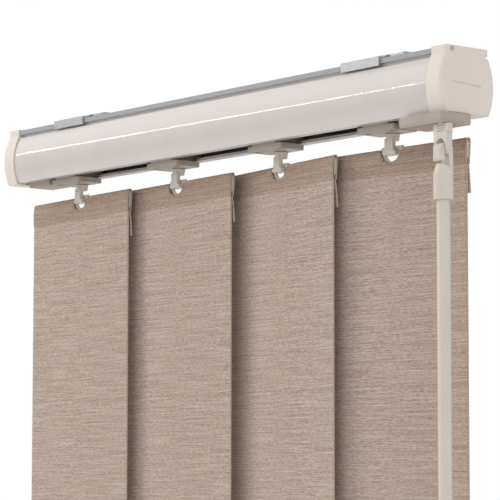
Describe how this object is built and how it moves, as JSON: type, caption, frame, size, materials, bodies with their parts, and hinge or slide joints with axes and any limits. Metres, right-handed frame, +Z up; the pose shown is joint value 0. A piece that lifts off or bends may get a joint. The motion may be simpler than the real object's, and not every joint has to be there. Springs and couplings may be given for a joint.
{
  "type": "vertical blind",
  "caption": "Ceiling-fixed vertical blind with a slotted head rail, turning carriers, hooked fabric vanes and a wand that tilts and draws them.",
  "frame": {"origin": "on the ceiling plane, midway between the screw holes of the two clips", "axes": "+Z up, +X along the rail towards the wand, -Y faces the room and +Y the window"},
  "size_m": [0.3632, 0.034, 0.5424],
  "materials": {
    "rail_paint": "warm off-white powder coat, satin",
    "cap_plastic": "warm off-white moulded plastic",
    "clip_steel": "bright zinc-plated sheet steel",
    "screw_steel": "zinc plated",
    "carrier_plastic": "grey-beige moulded plastic",
    "gear_plastic": "natural acetal",
    "rod_aluminium": "extruded, plain",
    "link_steel": "spring steel strip",
    "stem_clear": "translucent moulded plastic",
    "fabric": "light taupe slub weave",
    "weight_plastic": "white coated plate",
    "wand_plastic": "cream off-white plastic"
  },
  "bodies": {
    "rail": {"headrail": "rail_paint", "end_cap_left": "cap_plastic", "end_cap_right": "cap_plastic", "rod_bush_left": "gear_plastic", "rod_bush_right": "gear_plastic", "end_cap_screws": "screw_steel", "ceiling_clip_left": "clip_steel", "ceiling_clip_right": "clip_steel", "end_stop": "carrier_plastic", "carrier_1": "carrier_plastic"},
    "rod": {"tilt_rod": "rod_aluminium"},
    "runner_2": {"carrier_2": "carrier_plastic", "spacer_link_1": "link_steel"},
    "runner_3": {"carrier_3": "carrier_plastic", "spacer_link_2": "link_steel"},
    "runner_4": {"carrier_4": "carrier_plastic", "spacer_link_3": "link_steel"},
    "wand_runner": {"wand_carrier": "carrier_plastic", "wand_carrier_cover": "carrier_plastic", "spacer_link_4": "link_steel"},
    "worm_1": {"worm_1": "gear_plastic"},
    "vane_1": {"stem_1": "stem_clear", "hanger_1": "stem_clear", "vane_1": "fabric", "vane_weight_1": "weight_plastic"},
    "worm_2": {"worm_2": "gear_plastic"},
    "vane_2": {"stem_2": "stem_clear", "hanger_2": "stem_clear", "vane_2": "fabric", "vane_weight_2": "weight_plastic"},
    "worm_3": {"worm_3": "gear_plastic"},
    "vane_3": {"stem_3": "stem_clear", "hanger_3": "stem_clear", "vane_3": "fabric", "vane_weight_3": "weight_plastic"},
    "worm_4": {"worm_4": "gear_plastic"},
    "vane_4": {"stem_4": "stem_clear", "hanger_4": "stem_clear", "vane_4": "fabric", "vane_weight_4": "weight_plastic"},
    "rod_gear": {"rod_gear": "gear_plastic"},
    "drive_shaft": {"drive_shaft": "gear_plastic"},
    "idler": {"idler_gear": "gear_plastic"},
    "post": {"wand_post": "wand_plastic"},
    "wand": {"wand_hook": "wand_plastic", "wand_tube": "wand_plastic", "wand_tip": "wand_plastic"}
  },
  "joints": [
    {"name": "tilt_1", "type": "hinge", "parent": "rail", "child": "vane_1", "pos_m": [-0.142, 0.004, -0.0405], "axis": [0, 0, -1], "range_deg": [0, 154.29]},
    {"name": "tilt_2", "type": "hinge", "parent": "runner_2", "child": "vane_2", "pos_m": [-0.0535, 0.004, -0.0405], "axis": [0, 0, -1], "range_deg": [0, 154.3]},
    {"name": "tilt_3", "type": "hinge", "parent": "runner_3", "child": "vane_3", "pos_m": [0.0312, 0.004, -0.0405], "axis": [0, 0, -1], "range_deg": [0, 154.3]},
    {"name": "tilt_4", "type": "hinge", "parent": "runner_4", "child": "vane_4", "pos_m": [0.114, 0.004, -0.0405], "axis": [0, 0, -1], "range_deg": [0, 154.3]},
    {"name": "rod_turn", "type": "hinge", "parent": "rail", "child": "rod", "pos_m": [0, -0.0044, -0.018], "axis": [1, 0, 0], "range_deg": [0, 1080.1]},
    {"name": "worm_1_turn", "type": "hinge", "parent": "rail", "child": "worm_1", "pos_m": [-0.142, -0.0044, -0.018], "axis": [1, 0, 0], "range_deg": [0, 1080.1]},
    {"name": "worm_2_turn", "type": "hinge", "parent": "runner_2", "child": "worm_2", "pos_m": [-0.0535, -0.0044, -0.018], "axis": [1, 0, 0], "range_deg": [0, 1080.1]},
    {"name": "worm_3_turn", "type": "hinge", "parent": "runner_3", "child": "worm_3", "pos_m": [0.0312, -0.0044, -0.018], "axis": [1, 0, 0], "range_deg": [0, 1080.1]},
    {"name": "worm_4_turn", "type": "hinge", "parent": "runner_4", "child": "worm_4", "pos_m": [0.114, -0.0044, -0.018], "axis": [1, 0, 0], "range_deg": [0, 1080.1]},
    {"name": "rod_gear_turn", "type": "hinge", "parent": "wand_runner", "child": "rod_gear", "pos_m": [0.142, -0.0044, -0.018], "axis": [1, 0, 0], "range_deg": [0, 1080.1]},
    {"name": "drive_shaft_turn", "type": "hinge", "parent": "wand_runner", "child": "drive_shaft", "pos_m": [0.1499, -0.0044, -0.03], "axis": [0, 0, -1], "range_deg": [0, 1080.1]},
    {"name": "idler_turn", "type": "hinge", "parent": "wand_runner", "child": "idler", "pos_m": [0.15815, -0.0087, -0.0373], "axis": [0, 0, 1], "range_deg": [0, 540.15]},
    {"name": "post_turn", "type": "hinge", "parent": "wand_runner", "child": "post", "pos_m": [0.1664, -0.013, -0.042], "axis": [0, 0, -1], "range_deg": [0, 1080.1]},
    {"name": "wand_swing", "type": "hinge", "parent": "post", "child": "wand", "pos_m": [0.1664, -0.013, -0.0514], "axis": [-1, 0, 0], "range_deg": [0, 60]},
    {"name": "traverse", "type": "slide", "parent": "rail", "child": "wand_runner", "axis": [1, 0, 0], "range_m": [-0.063, 0]},
    {"name": "runner_4_slide", "type": "slide", "parent": "rail", "child": "runner_4", "axis": [1, 0, 0], "range_m": [-0.06301, 0]},
    {"name": "runner_3_slide", "type": "slide", "parent": "rail", "child": "runner_3", "axis": [1, 0, 0], "range_m": [-0.06301, 0]},
    {"name": "runner_2_slide", "type": "slide", "parent": "rail", "child": "runner_2", "axis": [1, 0, 0], "range_m": [-0.03301, 0]}
  ],
  "couplings": [
    {"joint": "tilt_2", "follows": "tilt_1", "ratio": 1},
    {"joint": "tilt_3", "follows": "tilt_1", "ratio": 1},
    {"joint": "tilt_4", "follows": "tilt_1", "ratio": 1},
    {"joint": "rod_turn", "follows": "tilt_1", "ratio": 7},
    {"joint": "worm_1_turn", "follows": "tilt_1", "ratio": 7},
    {"joint": "worm_2_turn", "follows": "tilt_1", "ratio": 7},
    {"joint": "worm_3_turn", "follows": "tilt_1", "ratio": 7},
    {"joint": "worm_4_turn", "follows": "tilt_1", "ratio": 7},
    {"joint": "rod_gear_turn", "follows": "tilt_1", "ratio": 7},
    {"joint": "drive_shaft_turn", "follows": "tilt_1", "ratio": 7},
    {"joint": "idler_turn", "follows": "tilt_1", "ratio": 3.5},
    {"joint": "post_turn", "follows": "tilt_1", "ratio": 7},
    {"joint": "runner_4_slide", "follows": "traverse", "ratio": 1},
    {"joint": "runner_3_slide", "follows": "traverse", "ratio": 1},
    {"joint": "runner_2_slide", "follows": "traverse", "ratio": 0.52381}
  ]
}
